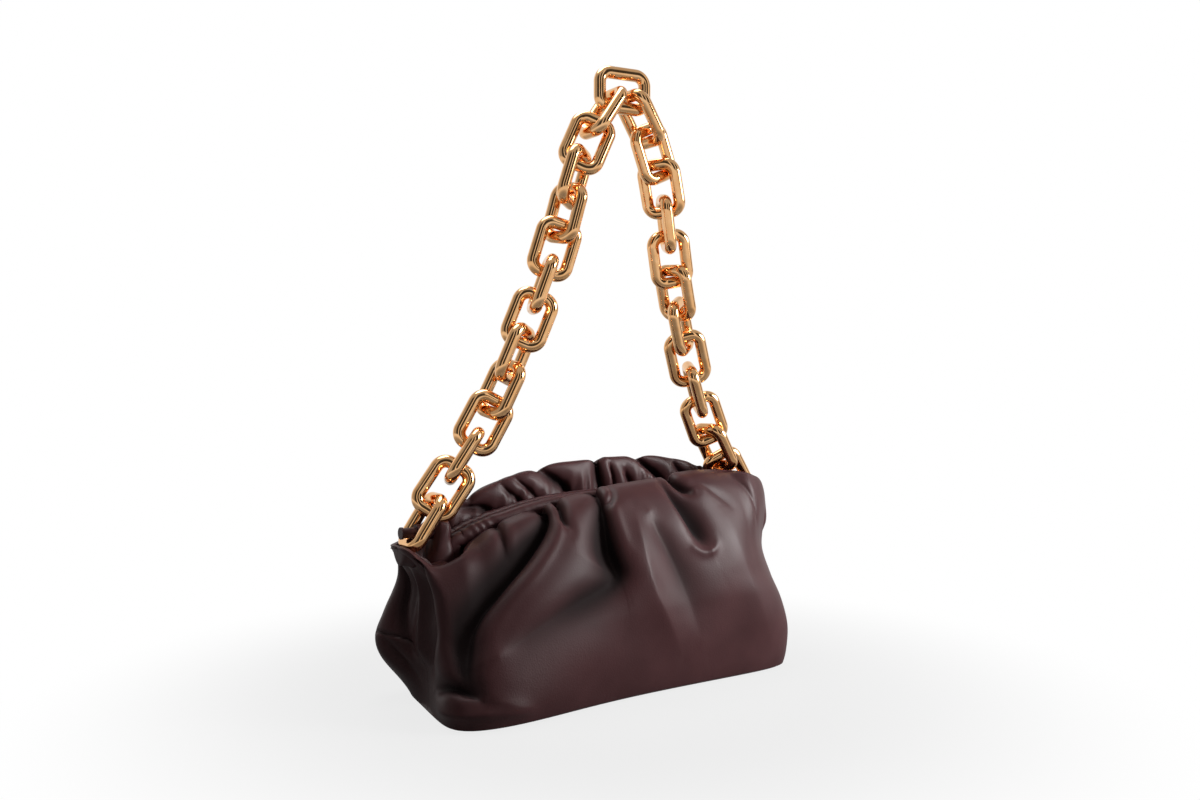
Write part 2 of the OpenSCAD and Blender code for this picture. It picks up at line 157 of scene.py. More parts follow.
def wall(side, a, t):
    """Outer face of a panel. a runs from the left seam (0) round to the right one (1); t runs
    from the base seam (0) to the top of the fold (1), and the tables give width, depth, height
    and bluntness at each t. At each end the gusset tucks in by exp(-(y / 0.42)^2), and beyond the
    end link the lip rises by t^4 exp(-(a / span)^2)."""
    px, py = plan(a, row(BLUNT, t))
    flat = np.clip(1 - 7 * t, 0, 1)
    px = px + (1 - 2 * a - px) * flat
    tuck = GUSSET * row(TUCK, t) * np.exp(-((py / 0.42) ** 2))
    width = row(WIDTH, t)
    x = -px * (HALF_W * width - tuck)
    crest_x = -px * HALF_W * WIDTH[-1]
    top = FOLD_HALF + (LIP_HALF - FOLD_HALF) * end_share(x) - HALF_D * DEPTH[-1]
    y = py * (HALF_D * row(DEPTH, t) + top * t**5)
    ear = EAR_H * np.exp(-((np.minimum(a, 1 - a) / EAR_SPAN) ** 2))
    z = row(HEIGHT, t) * (crest_height(side, crest_x) + ear * t**4)
    return swollen(np.stack([x, side * y, z], -1))


def rim(side, a, t):
    """The leather rolls over the fold and goes down beside the mouth: y eases inwards as
    1 - (1 - t)^2 and z falls as t^2. Round the end links it stays a flat lip."""
    crest = wall(side, a, np.ones_like(a))
    px, py = plan(a, BLUNT[-1])
    e = end_share(crest[..., 0])
    inward = 1 - (1 - t) ** 2
    y0 = np.abs(crest[..., 1])
    y1 = py * MOUTH_HALF * (1 - e) + (y0 - py * LIP_ROLL) * e
    z1 = (arch_height(crest[..., 0]) - ROLL_H / 2) * (1 - e) + crest[..., 2] * e
    z = crest[..., 2] + (np.minimum(z1, crest[..., 2]) - crest[..., 2]) * t * t
    return np.stack([crest[..., 0] + px * LIP_ROLL * inward * e, side * (y0 + (y1 - y0) * inward), z], -1)


# Meshes
def grid_faces(rows, cols, flip):
    """Four-cornered faces of a grid of points, turned round where flip is true."""
    i = np.arange(rows - 1)[:, None] * cols + np.arange(cols - 1)[None, :]
    f = np.stack([i, i + 1, i + cols + 1, i + cols], -1).reshape(-1, 4)
    return f[:, ::-1] if flip else f


def surface(name, points, faces, material, smooth=True, attributes=None):
    """Mesh object from points in millimetres and faces given by their corners."""
    mesh = bpy.data.meshes.new(name)
    faces = faces if isinstance(faces, list) else faces.tolist()
    mesh.from_pydata((points.reshape(-1, 3) * MM).tolist(), [], faces)
    for key, value in (attributes or {}).items():
        layer = mesh.attributes.new(key, "FLOAT", "POINT")
        layer.data.foreach_set("value", np.ravel(value).astype(np.float32))
    mesh.polygons.foreach_set("use_smooth", np.full(len(mesh.polygons), smooth))
    mesh.materials.append(material)
    mesh.update()
    obj = bpy.data.objects.new(name, mesh)
    bpy.context.scene.collection.objects.link(obj)
    return obj


# Materials
class Sock:
    """A value socket with the usual arithmetic."""
    def __init__(self, shader, socket):
        self.s, self.o = shader, socket

    def math(self, operation, a, b):
        return self.s.node("ShaderNodeMath", {"operation": operation}, {0: a, 1: b})

    def __add__(self, other):
        return self.math("ADD", self, other)

    def __radd__(self, other):
        return self.math("ADD", other, self)

    def __sub__(self, other):
        return self.math("SUBTRACT", self, other)

    def __rsub__(self, other):
        return self.math("SUBTRACT", other, self)

    def __mul__(self, other):
        return self.math("MULTIPLY", self, other)

    def __rmul__(self, other):
        return self.math("MULTIPLY", other, self)

    def smooth(self, lo, hi):
        """0 below lo, 1 above hi, and an eased step between them."""
        return self.s.node("ShaderNodeMapRange", {"interpolation_type": "SMOOTHSTEP"},
                           {"Value": self, "From Min": lo, "From Max": hi})


class Shader:
    """Node tree with one method that adds a node from its type, settings and sockets."""
    def __init__(self, tree):
        self.t = tree
        tree.nodes.clear()

    def node(self, kind, settings=None, sockets=None, out=0):
        n = self.t.nodes.new(kind)
        for key, value in (settings or {}).items():
            setattr(n, key, value)
        for key, value in (sockets or {}).items():
            if isinstance(value, Sock):
                self.t.links.new(value.o, n.inputs[key])
            else:
                n.inputs[key].default_value = value
        return Sock(self, n.outputs[out])

    def mix(self, f, a, b):
        """Colour a where f is 0 and colour b where it is 1."""
        n = self.t.nodes.new("ShaderNodeMix")
        n.data_type = "RGBA"
        for i, v in ((0, f), (6, a), (7, b)):
            if isinstance(v, Sock):
                self.t.links.new(v.o, n.inputs[i])
            else:
                n.inputs[i].default_value = v if i == 0 else (*v, 1)
        return Sock(self, n.outputs[2])


def material(name):
    """New material, and the Shader on its emptied node tree."""
    m = bpy.data.materials.new(name)
    m.use_nodes = True
    return m, Shader(m.node_tree)


def finish_material(sh, shader_out):
    """Joins a shader to the material's output."""
    out = sh.t.nodes.new("ShaderNodeOutputMaterial")
    sh.t.links.new(shader_out.o, out.inputs["Surface"])


def gold():
    """Polished warm gold with faint handling marks."""
    m, sh = material("polished_gold")
    where = sh.node("ShaderNodeTexCoord", out=3)
    cloud = sh.node("ShaderNodeTexNoise", {}, {"Vector": where, "Scale": 160.0, "Detail": 4.0})
    marks = sh.node("ShaderNodeTexNoise", {}, {"Vector": where, "Scale": 2200.0, "Detail": 2.0})
    tint = sh.mix(cloud.smooth(0.35, 0.7), (0.88, 0.48, 0.21), (0.94, 0.56, 0.28))
    bump = sh.node("ShaderNodeBump", {}, {"Strength": 0.02, "Distance": 0.0002, "Height": marks})
    bsdf = sh.node("ShaderNodeBsdfPrincipled", {}, {"Base Color": tint, "Metallic": 1.0,
                   "Roughness": 0.05 + 0.05 * cloud, "Normal": bump})
    finish_material(sh, bsdf)
    return m


def leather():
    """Smooth dark aubergine calf with a satin finish and a fine grain. Its tone wanders between
    two browns. In the bottom of a fold, where the mesh's dip is near 1, its colour is darkened as painted
    shade, and it is matt."""
    m, sh = material("aubergine_leather")
    where = sh.node("ShaderNodeTexCoord", out=3)
    broad = sh.node("ShaderNodeTexNoise", {}, {"Vector": where, "Scale": 22.0, "Detail": 3.0})
    pebble = sh.node("ShaderNodeTexVoronoi", {"feature": "SMOOTH_F1"},
                     {"Vector": where, "Scale": 900.0, "Smoothness": 0.6})
    fine = sh.node("ShaderNodeTexNoise", {}, {"Vector": where, "Scale": 1800.0, "Detail": 3.0})
    dip = sh.node("ShaderNodeAttribute", {"attribute_name": "dip"}, out=2)
    worn = sh.mix(broad.smooth(0.3, 0.75), (0.040, 0.0138, 0.0150), (0.055, 0.0200, 0.0216))
    # painted shade: the colour goes to near black in the bottom of each fold as the mesh's dip rises
    colour = sh.mix(dip.smooth(0.0, 0.9), worn, (0.0070, 0.0024, 0.0027))
    bump = sh.node("ShaderNodeBump", {}, {"Strength": 0.22, "Distance": 0.0003,
                   "Height": 0.7 * pebble + 0.3 * fine})
    shut = dip.smooth(0.0, 0.8)
    bsdf = sh.node("ShaderNodeBsdfPrincipled", {}, {"Base Color": colour, "Specular IOR Level": 0.17,
                   "Roughness": 0.37 + 0.1 * broad + 0.35 * shut, "Normal": bump})
    finish_material(sh, bsdf)
    return m


def plain(name, colour, rough, metallic=0.0):
    """Finish for what is hidden inside: one colour, 15 % lighter and darker with a fine grain."""
    m, sh = material(name)
    where = sh.node("ShaderNodeTexCoord", out=3)
    grain = sh.node("ShaderNodeTexNoise", {}, {"Vector": where, "Scale": 700.0, "Detail": 3.0})
    tone = sh.mix(grain, tuple(c * 0.85 for c in colour), tuple(min(1, c * 1.15) for c in colour))
    bump = sh.node("ShaderNodeBump", {}, {"Strength": 0.15, "Distance": 0.0003, "Height": grain})
    bsdf = sh.node("ShaderNodeBsdfPrincipled", {}, {"Base Color": tone, "Metallic": metallic,
                   "Roughness": rough + 0.1 * grain, "Normal": bump})
    finish_material(sh, bsdf)
    return m


GOLD, LEATHER_MAT = gold(), leather()
SUEDE = plain("lining_suede", (0.060, 0.032, 0.032), 0.75)
STEEL = plain("frame_steel", (0.55, 0.54, 0.52), 0.28, 1.0)
BOARD = plain("base_board", (0.03, 0.03, 0.03), 0.6)


# Leather panels
def arc(a):
    """Distance in mm from the panel's middle along a blunt oval, negative to the left."""
    half_wide, half_deep, blunt = 150, 60, 4
    fine = np.linspace(0, 1, 2001)
    px, py = plan(fine, blunt)
    x, y = half_wide * px, half_deep * py
    s = np.r_[0, np.cumsum(np.hypot(np.diff(x), np.diff(y)))]
    return np.interp(a, fine, s - s[len(s) // 2])


def between(rows, n=8):
    """Smooth table through rows: n steps to each span, every column a Catmull-Rom curve."""
    r = np.array([(*q, *([0] * (6 - len(q)))) for q in rows], float)
    r = np.vstack([2 * r[0] - r[1], r, 2 * r[-1] - r[-2]])
    t = np.linspace(0, 1, n, endpoint=False)[None, :, None]
    a, b, c, d = (r[k:len(r) - 3 + k, None] for k in range(4))
    curve = (b + t * (c - a) / 2 + t**2 * (a - 2.5 * b + 2 * c - d / 2) + t**3 * (-a + 3 * b - 3 * c + d) / 2)
    return np.vstack([curve.reshape(-1, 6), r[-2]])


def fold(s, w, rows):
    """One fold of a panel. Each row is (s, rise, depth, left width, right width, ridge). Across the
    fold the leather goes in by depth * exp(-r^1.45), r being the distance in widths, and just right
    of it stands up by 0.45 ridge * exp(-((r - 2.2) / 1.3)^2) and leans over it. A negative depth is
    a soft ridge. Left and right are seen going up the path, whichever end it starts from. Near a
    bend the nearest stretches of the path share a point, by exp(-extra distance / (0.4 + 0.3 *
    nearest distance)). Returns the way in and the lean of the ridge over the fold."""
    path = between(rows)
    path[:, 1] *= RISE
    turn = 1 if path[-1, 1] > path[0, 1] else -1
    reach = 3.4 * max(path[:, 3].max(), path[:, 4].max())
    lo, hi = path[:, :2].min(0) - reach, path[:, :2].max(0) + reach
    near = (s > lo[0]) & (s < hi[0]) & (w > lo[1]) & (w < hi[1])
    u, v = s[near], w[near]

    def stretch(p, q):
        d = q[:2] - p[:2]
        t = np.clip(((u - p[0]) * d[0] + (v - p[1]) * d[1]) / (d @ d), 0, 1)
        return d, t, np.hypot(u - p[0] - t * d[0], v - p[1] - t * d[1])

    best = np.min([stretch(p, q)[2] for p, q in zip(path[:-1], path[1:])], 0)
    total, value, across = np.zeros(len(u)), np.zeros((5, len(u))), np.zeros((2, len(u)))
    for p, q in zip(path[:-1], path[1:]):
        d, t, gap = stretch(p, q)
        share = np.exp(-(gap - best) / (0.4 + 0.3 * best))
        side = turn * np.sign(d[1] * (u - p[0]) - d[0] * (v - p[1]))
        total += share
        value += share * np.stack([*(p[2:, None] + (q - p)[2:, None] * t), side])
        across += turn * share * np.array([d[1], -d[0]])[:, None] / np.hypot(*d)
    depth, left, right, ridge, side = value / total
    to_right = 0.5 + 0.5 * side
    r = best / np.maximum(left + (right - left) * to_right, 0.5)
    crest = ridge * to_right * np.exp(-(((r - 2.2) / 1.3) ** 2)) * (1 - np.exp(-((r / 0.8) ** 2)))
    over = ridge * to_right * np.exp(-(((r - 1.1) / 0.8) ** 2)) * (1 - np.exp(-((r / 0.5) ** 2)))
    inward, lean = np.zeros_like(s), np.zeros(s.shape + (2,))
    inward[near] = depth * np.exp(-(r**1.45)) - 0.45 * crest
    lean[near] = -(across / total * 1.15 * over).T
    return inward, lean


# Rows are (s, rise in %, depth, left width, right width, ridge). s runs along the panel in mm
# from its middle; past 100 % the rise goes over the fold and down beside the mouth.
FRONT_FOLDS = [
    # the long fold from the mouth down to the left corner
    [(-53, 130, 4, 4, 3, 1), (-53, 112, 7, 5, 3, 2), (-54, 100, 10, 6, 3, 2.5), (-57, 94, 12, 8, 3, 3),
     (-64, 89, 13, 11, 3.2, 3.2), (-75, 84, 14, 15, 3.6, 3.4), (-88, 79, 14, 19, 4, 3.4),
     (-102, 75, 13.5, 22, 4.5, 3.4), (-115, 70, 13, 23, 5, 3.2), (-126, 63, 12.5, 22, 6, 2.8),
     (-133, 54, 11.5, 19, 7, 2), (-135, 44, 9.5, 16, 8, 1.2), (-133, 33, 6.5, 13, 8, 0.4),
     (-127, 22, 3, 10, 8), (-121, 12, 0, 8, 8)],
    # the hairpin pleat beside it
    [(-43, 130, 3, 2.5, 2.5, 0), (-43, 112, 5.5, 2.5, 2.5, 0.4), (-43.5, 102, 7, 2.6, 2.6, 0.5),
     (-45, 97.5, 7.5, 2.6, 2.8, 0.8), (-47, 94, 7, 2.6, 3, 1), (-48, 91, 4.5, 2.8, 3.2, 1),
     (-48, 87, 0, 3, 3.5, 0)],
    # small pleat near the left lip
    [(-86, 125, 2, 3, 3, 0), (-87, 104, 3.5, 3, 2.5, 0.5), (-90, 97, 3.5, 3, 2.5, 1),
     (-93, 92, 2, 4, 3, 1), (-96, 86, 0, 4, 3, 0)],
    # the fold below the middle of the mouth, which turns into a soft valley down to the left
    [(-9, 130, 3, 3, 3, 0), (-10, 112, 5, 4, 3, 0.8), (-12, 101, 6.5, 6, 2.5, 1.2),
     (-13.5, 95, 8, 9, 2.6, 1.6), (-15, 88, 10, 13, 3, 2), (-16, 81, 12.5, 17, 3.2, 2.2),
     (-16, 74, 14.5, 20, 3.4, 2.2), (-15, 67, 14, 21, 3.8, 2), (-16, 61.5, 11, 18, 6, 1.4),
     (-24, 57.5, 8.5, 14, 11, 0.6), (-38, 55, 7, 12, 16, 0.3), (-56, 52.5, 6, 11, 19),
     (-76, 49, 5, 10, 20), (-96, 45, 3.5, 10, 18), (-113, 42, 0, 9, 14)],
    # its small hook at the crest
    [(-1, 101, 0, 2.4, 2.4), (-4, 97, 2.5, 2.4, 2.4), (-8, 94.5, 3.5, 2.4, 2.6, 0.2),
     (-12, 93, 2, 2.4, 2.6)],
    # the pinch on the right and the hollow under it
    [(50, 125, 2, 3, 3, 0), (49, 108, 5, 3, 3, 0.6), (50, 99, 7, 3, 3, 1),
     (54, 95.5, 8, 3.2, 3.2, 1.2), (59, 93, 6, 3.2, 3.2, 1), (64, 92, 0, 3, 3, 0)],
    [(40, 97, 3, 3, 3, 0.4), (43, 92, 5.5, 3.5, 5, 0.8), (47, 87, 7.5, 3.6, 8, 1),
     (51, 81.5, 8.5, 3.8, 11, 1), (55, 76, 8.5, 4.5, 12, 1), (59, 71, 6.5, 6, 11, 0.8),
     (62, 67, 2.5, 6, 8, 0.3), (64, 64, 0, 6, 7, 0)],
    [(50, 66.5, -1.2, 3, 3), (58, 63.5, -2, 3.5, 3.5), (68, 64.5, -1.8, 3.5, 3.5),
     (75, 69.5, 0, 3, 3)],
    # broad ridge, and soft hollow beside it
    [(8, 90, 0, 9, 9), (5, 76, -2.4, 10, 10), (4, 62, -3.4, 10, 10), (8, 50, -3.4, 11, 10),
     (17, 38, -2.8, 11, 10), (27, 25, -1.4, 10, 10), (36, 14, 0, 10, 10)],
    [(19, 86, 0, 8, 8), (22, 78, 3.2, 8, 8), (28, 68, 4.6, 9, 9), (34, 57, 4.2, 10, 11),
     (39, 46, 3.2, 10, 12), (45, 34, 1.8, 10, 12), (52, 22, 0, 9, 12)],
    [(85, 84, 0, 18, 18), (92, 64, -2, 18, 20), (102, 42, -2.6, 18, 20), (112, 20, -1.2, 18, 18),
     (118, 8, 0, 15, 15)],
    [(62, 97, 0, 2.5, 2.5), (74, 93, 0.8, 2.5, 3, 0.4), (88, 87, 0.9, 2.5, 3, 0.4),
     (99, 80, 0, 2.5, 3)],
    [(100, 99, 0, 2.5, 2.5), (112, 94, 1.0, 2.5, 3, 0.5), (124, 85, 1.0, 2.5, 3, 0.5),
     (131, 74, 0, 2.5, 3)],
    # hollow above the boxed corner, with the rolled edge below it
    [(-174, 16, 0, 5, 5, 0), (-163, 19, 5, 6, 6, 1), (-151, 22.5, 7.5, 7, 6, 1.5),
     (-140, 23.5, 7.5, 8, 5, 1.5), (-130, 22, 4, 7, 4, 1), (-122, 20, 0, 5, 4, 0)],
    [(-165, 7, 0, 5, 5), (-148, 10, -2, 6, 6), (-125, 11, -2.4, 6, 6), (-104, 9, -1.4, 6, 6),
     (-88, 6, 0, 5, 5)],
    [(-124, 29, 0, 9, 8), (-116, 20, -1.4, 9, 8), (-102, 12, -1.8, 9, 8), (-84, 7, 0, 8, 8)],
    # end of the bag beside the lip
    [(-150, 97, 1, 3, 3, 0), (-157, 90, 3.5, 6, 3, 1.5), (-166, 80, 5, 8, 3.5, 2),
     (-168, 66, 5.5, 9, 4, 2), (-166, 52, 5.5, 9, 4, 2), (-170, 40, 4.5, 8, 4, 2),
     (-177, 31, 2, 6, 4, 1), (-183, 25, 0, 5, 4, 0)],
    [(150, 97, 1, 3, 3, 0), (158, 88, 3.5, 3, 6, 1.2), (166, 72, 5, 4, 8, 1.5),
     (167, 54, 5, 4, 8, 1.5), (172, 38, 3.5, 4, 7, 1), (180, 26, 0, 4, 5, 0)],
]
BACK_FOLDS = [
    # inner side of the fold, beside the mouth
    [(-104, 99, 0, 4, 4, 0), (-96, 105, 4, 4, 4, 1), (-84, 110, 5, 4, 4, 1.5),
     (-73, 118, 5, 4, 4, 1.5), (-66, 130, 4, 4, 4, 1)],
    [(-72, 99, 0, 2.5, 2.5, 0), (-65, 107, 2.5, 2.5, 2.5, 1), (-57, 113, 3.5, 2.5, 2.5, 1.2),
     (-50, 121, 3.5, 2.5, 2.5, 1), (-47, 131, 3, 2.5, 2.5, 0.5)],
    [(-62, 99, 0, 2.5, 2.5, 0), (-54, 106, 2.5, 2.5, 2.5, 1), (-46, 112, 3.5, 2.5, 2.5, 1.2),
     (-40, 120, 3.5, 2.5, 2.5, 1), (-37, 131, 3, 2.5, 2.5, 0.5)],
    [(-44, 92, 0, 4, 4, 0), (-40, 99, 3, 5, 5, 1), (-34, 104, 5.5, 6, 5, 2), (-25, 109, 7, 6, 5, 2.2),
     (-16, 116, 7, 5, 5, 2), (-12, 130, 5, 4, 4, 1)],
    [(7, 94, 0, 4, 4, 0), (9, 100, 4, 5, 3, 1.5), (11.5, 106, 6.5, 6, 2.5, 2.5),
     (13, 112, 7.5, 6, 2.5, 2.5), (14, 119, 6.5, 5, 2.5, 2), (14, 131, 4, 4, 3, 1)],
    [(18, 102, 0, 2, 2, 0), (21, 108, 3, 2, 2, 1), (23, 114, 3.5, 2, 2, 1), (23, 130, 2.5, 2, 2, 0.5)],
    [(31, 106, 0, 3, 3, 0), (34, 111, 3, 3, 3, 1), (38, 117, 3.5, 3, 3, 1), (39, 130, 2.5, 3, 3, 0.5)],
    [(38, 91, 0, 3, 4, 0), (43, 98, 4, 3, 5, 1), (48, 103, 6.5, 3, 5, 2), (55, 107, 7.5, 3, 5, 2.2),
     (63, 111, 7.5, 3.5, 5, 2), (69, 118, 6.5, 4, 4, 1.5), (71, 131, 4, 4, 4, 1)],
    [(76, 101, 0, 2.5, 2.5, 0), (81, 105, 3, 2.5, 2.5, 1), (87, 111, 3.5, 3, 3, 1),
     (90, 128, 2.5, 3, 3, 0.5)],
    [(100, 97, 0, 3, 3, 0), (104, 103, 3.5, 3, 3, 1), (109, 110, 4, 3, 3, 1),
     (111, 126, 3, 3, 3, 0.5)],
    # outer side of the back
    [(-92, 102, 3, 3, 4, 1), (-96, 92, 5, 3.5, 6, 1.5), (-101, 80, 5.5, 4, 9, 2),
     (-104, 66, 4, 5, 10, 1.5), (-103, 52, 0, 5, 9, 0)],
    [(-40, 100, 3, 3, 3, 0), (-36, 92, 6, 4, 4, 1), (-31, 82, 7, 5, 7, 2), (-28, 70, 6.5, 5, 10, 2),
     (-29, 56, 4.5, 5, 11, 1.5), (-33, 42, 0, 5, 9, 0)],
    [(10, 100, 4, 3, 3, 0), (8, 93, 5, 3, 3, 1), (5, 86, 4, 3, 5, 1), (3, 78, 0, 3, 5, 0)],
    [(42, 99, 4, 3, 3, 0), (47, 91, 7, 5, 3.5, 1.5), (55, 83, 8, 9, 4, 2.2), (66, 75, 8, 13, 4, 2.6),
     (79, 68, 7.5, 16, 5, 2.8), (92, 60, 6.5, 16, 6, 2.6), (103, 48, 5, 14, 7, 2),
     (110, 33, 3, 10, 7, 1), (114, 20, 0, 8, 7, 0)],
    [(98, 99, 3, 3, 3, 0), (103, 90, 4.5, 4, 4, 1), (110, 80, 4, 5, 5, 1), (116, 70, 0, 5, 5, 0)],
    [(-64, 62, 0, 10, 10), (-60, 46, -2.4, 10, 11), (-58, 30, -2.4, 10, 11), (-60, 14, 0, 9, 9)],
    [(10, 62, 0, 12, 12), (14, 44, -2.2, 12, 14), (20, 26, -2.2, 12, 14), (24, 10, 0, 10, 10)],
    [(-140, 58, 0, 8, 8), (-128, 46, 2.5, 8, 8, 1), (-118, 32, 2.8, 8, 8, 1), (-112, 18, 0, 7, 7)],
    # end of the bag: back lobe of the gusset, and the seam of the boxed corner
    [(-150, 97, 1, 3, 3, 0), (-160, 87, 3.5, 4, 6, 1), (-166, 75, 5, 4, 7, 1.5),
     (-168, 60, 5.5, 4, 7, 1.5), (-172, 46, 5, 4, 6, 1.5), (-176, 36, 3.5, 4, 6, 1),
     (-181, 28, 0, 4, 5, 0)],
    [(150, 97, 1, 3, 3, 0), (158, 88, 3.5, 6, 3, 1), (166, 72, 5, 8, 4, 1.5), (167, 54, 5, 8, 4, 1.5),
     (172, 38, 3.5, 7, 4, 1), (180, 26, 0, 5, 4, 0)],
    [(-150, 42, 0, 1.3, 1.3, 0), (-156, 42.5, 2.2, 1.3, 1.3, 0.8), (-166, 41.5, 2.4, 1.3, 1.3, 0.8),
     (-178, 38, 1.6, 1.3, 1.3, 0.6), (-186, 36, 0, 1.3, 1.3, 0)],
    [(-158, 44, 0, 4, 4, 0), (-163, 36, 3, 4, 4, 1), (-168, 28, 3.5, 4, 4, 1),
     (-175, 20, 1.5, 4, 4, 0.5), (-182, 15, 0, 4, 4, 0)],
]


def panel(name, side, folds):
    """A leather panel: the outer grid with its folds, and an inner grid of every third point, the
    leather's thickness below the deepest fold near it. At each point s is the way along the panel
    and v the rise in percent, which goes on past 100 over the rim. The leather moves by the folds'
    sum along its normal and by their lean along the grid. That sum fades to nothing at the end
    seams and the floor, and is held back at the crest and at the inner edge of the rim."""
    a = np.linspace(0, 1, COLS)
    p = np.concatenate([wall(side, *np.meshgrid(a, np.linspace(0, 1, WALL_ROWS))),
                        rim(side, *np.meshgrid(a, np.linspace(0, 1, RIM_ROWS + 1)[1:]))])
    s = np.repeat(arc(a)[None], WALL_ROWS + RIM_ROWS, 0)
    v = p[..., 2] / p[WALL_ROWS - 1, :, 2] * 100
    run = np.cumsum(np.linalg.norm(np.diff(p[WALL_ROWS - 1:], axis=0), axis=-1), 0)
    v[WALL_ROWS:] = 100 + run / RISE
    along, up = np.gradient(p, axis=1), np.gradient(p, axis=0)
    down = np.array([0, 0, 1e-4])
    n = np.cross(along, up) * -side - down
    # both panels share the end seams, so there the normal lies in the plane between them
    seam = [0, -1]
    outward = np.array([-1, 1])
    level = np.stack([outward * up[:, seam, 2], 0 * up[:, seam, 2], -outward * up[:, seam, 0]], -1)
    n[:, seam] = level - down
    n, along, up = (q / np.linalg.norm(q, axis=-1, keepdims=True) for q in (n, along, up))
    w = v * RISE
    waver = np.sin(s / 13 + 2 * np.sin(w / 40)) * np.sin(w / 19 + 1.3 + side)
    gathers = 0.5 + 0.5 * np.cos(s * 0.7 + 1.7 * np.sin(s / 9) + side)
    beside = ease(v, 104, 116) * (1 - end_share(p[..., 0]))
    inward = 0.7 * waver * ease(w, 12, 52) + 1.1 * beside * gathers
    slide = np.zeros(s.shape + (2,))
    for rows in folds:
        one, lean = fold(s, w, rows)
        inward, slide = inward + one, slide + lean
    free = ease(np.abs(s), 188, 176)
    edge_hold = 1 - 0.75 * ease(v, 122, 130)
    crest_hold = 1 - (0.45 if side > 0 else 0.1) * np.exp(-(((v - 99) / 5) ** 2))
    share = free * ease(p[..., 2], 0, 9) * edge_hold * crest_hold
    inward, slide = inward * share, slide * share[..., None]
    inward = inward - SEAM_ROLL * (1 - free) * ease(v, 22, 42) * (1 - ease(v, 74, 96))
    # dip is the share of the way into a fold; the leather darkens its colour by it as painted shade, and
    # makes it matt
    dip = np.clip(inward / 9, 0, 1)
    q = p - n * inward[..., None] + along * slide[..., :1] + up * slide[..., 1:]
    deep = inward.copy()
    for step in range(INNER_STEP):
        pad = np.pad(deep, 1, mode="edge")
        deep = np.max([pad[i:i + deep.shape[0], j:j + deep.shape[1]] for i in range(3) for j in range(3)], 0)
    thin = (slice(None, None, INNER_STEP), slice(None, None, INNER_STEP))
    inner = (p - n * (deep + LEATHER)[..., None])[thin]
    both = np.concatenate([q.reshape(-1, 3), inner.reshape(-1, 3)])
    dips = np.concatenate([dip.ravel(), dip[thin].ravel()])
    faces = panel_faces(q.shape[0], inner.shape[0], inner.shape[1], side < 0)
    return surface(name, both, faces, LEATHER_MAT, attributes={"dip": dips}), inner, n[thin]


def panel_faces(rows, inner_rows, inner_cols, turn):
    """Faces of a panel: the outer grid, the inner grid turned round, and along the four edges a
    strip of six-cornered faces, each with two inner points and the four outer ones beside them."""
    outer = np.arange(rows * COLS).reshape(rows, COLS)
    inner = np.arange(inner_rows * inner_cols).reshape(inner_rows, inner_cols) + outer.size

    def strip(near, far):
        """Strip between an edge of the inner grid and the same edge of the outer one."""
        ends = np.stack([near[:-1], near[1:]], -1)
        steps = [far[INNER_STEP - e:len(far) - e:INNER_STEP] for e in range(INNER_STEP + 1)]
        return np.hstack([ends, np.stack(steps, -1)])

    turned = [1, 0, 5, 4, 3, 2]
    edge = np.concatenate([strip(inner[0], outer[0]), strip(inner[-1], outer[-1])[:, turned],
                           strip(inner[:, 0], outer[:, 0])[:, turned], strip(inner[:, -1], outer[:, -1])])
    grids = [grid_faces(rows, COLS, turn), grid_faces(inner_rows, inner_cols, not turn) + outer.size]
    return np.concatenate(grids).tolist() + (edge[:, ::-1] if turn else edge).tolist()


def slab_faces(rows, cols, turn):
    """Faces of a closed sheet: grid, second grid turned round, and the strip that joins their edges."""
    m = rows * cols
    faces = np.concatenate([grid_faces(rows, cols, turn), grid_faces(rows, cols, not turn) + m])
    i, j = np.arange(rows) * cols, np.arange(cols)
    loops = [j, i + cols - 1, j[::-1] + m - cols, i[::-1]]
    strip = np.concatenate([np.stack([e[1:], e[:-1], e[:-1] + m, e[1:] + m], -1) for e in loops])
    return np.concatenate([faces, strip[:, ::-1] if turn else strip])


def sheet_between(name, top, below, side, material):
    """Closed sheet from its top grid and the grid of its underside."""
    rows, cols = top.shape[:2]
    both = np.concatenate([top.reshape(-1, 3), below.reshape(-1, 3)])
    return surface(name, both, slab_faces(rows, cols, side < 0), material)


def lining(name, inner, n, side):
    """Lining that lies 0.4 mm inside the leather's inner face, from above the base to below the
    fold, and ends short of the chain's posts."""
    part = (slice(7, 51), slice(15, -15))
    top = inner - n * 0.4
    return sheet_between(name, top[part], (top - n * LINING)[part], side, SUEDE)


def slip_pocket(inner, n):
    """Slip pocket on the back lining, which stands off it as the sixth power of its height."""
    part = (slice(16, 40), slice(52, 89))
    off = 1.2 * np.linspace(0, 1, 24)[:, None, None] ** 6
    against, way = inner[part], n[part]
    top, below = against - way * (1.7 + off), against - way * (2.6 + 1.6 * off)
    return sheet_between("slip_pocket", top, below, 1, SUEDE)


